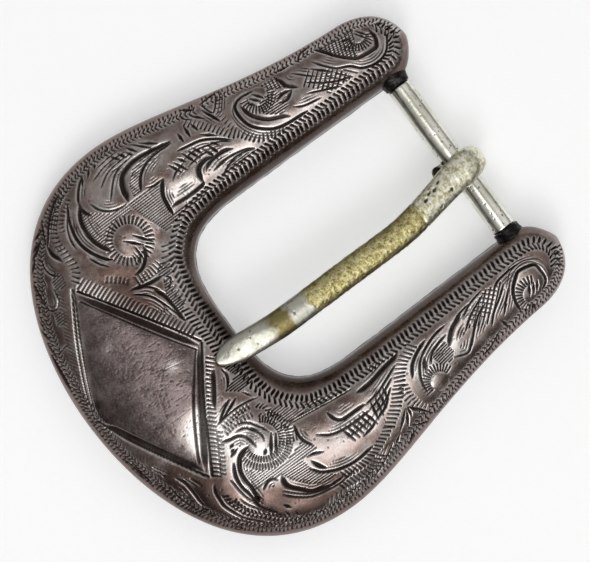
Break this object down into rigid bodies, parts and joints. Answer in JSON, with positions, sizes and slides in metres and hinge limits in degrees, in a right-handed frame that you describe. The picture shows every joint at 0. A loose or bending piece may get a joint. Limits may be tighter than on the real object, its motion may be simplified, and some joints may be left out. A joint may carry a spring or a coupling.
{
  "type": "belt buckle",
  "caption": "Horseshoe-shaped hollow domed belt buckle with a hand-engraved front, a round crossbar between its arm tips and a hinged wire tongue that rests on its base.",
  "frame": {"origin": "under the middle of the whole buckle, in the plane of the back plate's rear face, on which it lies", "axes": "+X from the closed base to the open arm tips, +Y along the crossbar, +Z out of the engraved front"},
  "size_m": [0.0536, 0.0486, 0.0076],
  "materials": {
    "tarnished_silver": "die-struck silver, hand engraved, dark brown-violet tarnish, brighter on worn high places",
    "plain_silver": "flat rolled silver sheet, plain, tarnished and scratched",
    "black_oxide": "oxidised solder sleeve, nearly black",
    "nickel_silver": "drawn nickel silver rod, dull polish, small pits",
    "worn_plated_brass": "nickel plate worn through to granular brass along the shank"
  },
  "bodies": {
    "frame": {"front_shell": "tarnished_silver", "back_plate": "plain_silver", "bar_socket_left": "black_oxide", "bar_socket_right": "black_oxide"},
    "bar": {"crossbar": "nickel_silver"},
    "prong": {"tongue": "worn_plated_brass"}
  },
  "joints": [
    {"name": "tongue_swing", "type": "hinge", "parent": "frame", "child": "bar", "pos_m": [0.0227, 0, 0.00315], "axis": [0, 1, 0], "range_deg": [0, 344]},
    {"name": "tongue_slide", "type": "slide", "parent": "bar", "child": "prong", "axis": [0, 1, 0], "range_m": [-0.0025, 0.0065]}
  ]
}
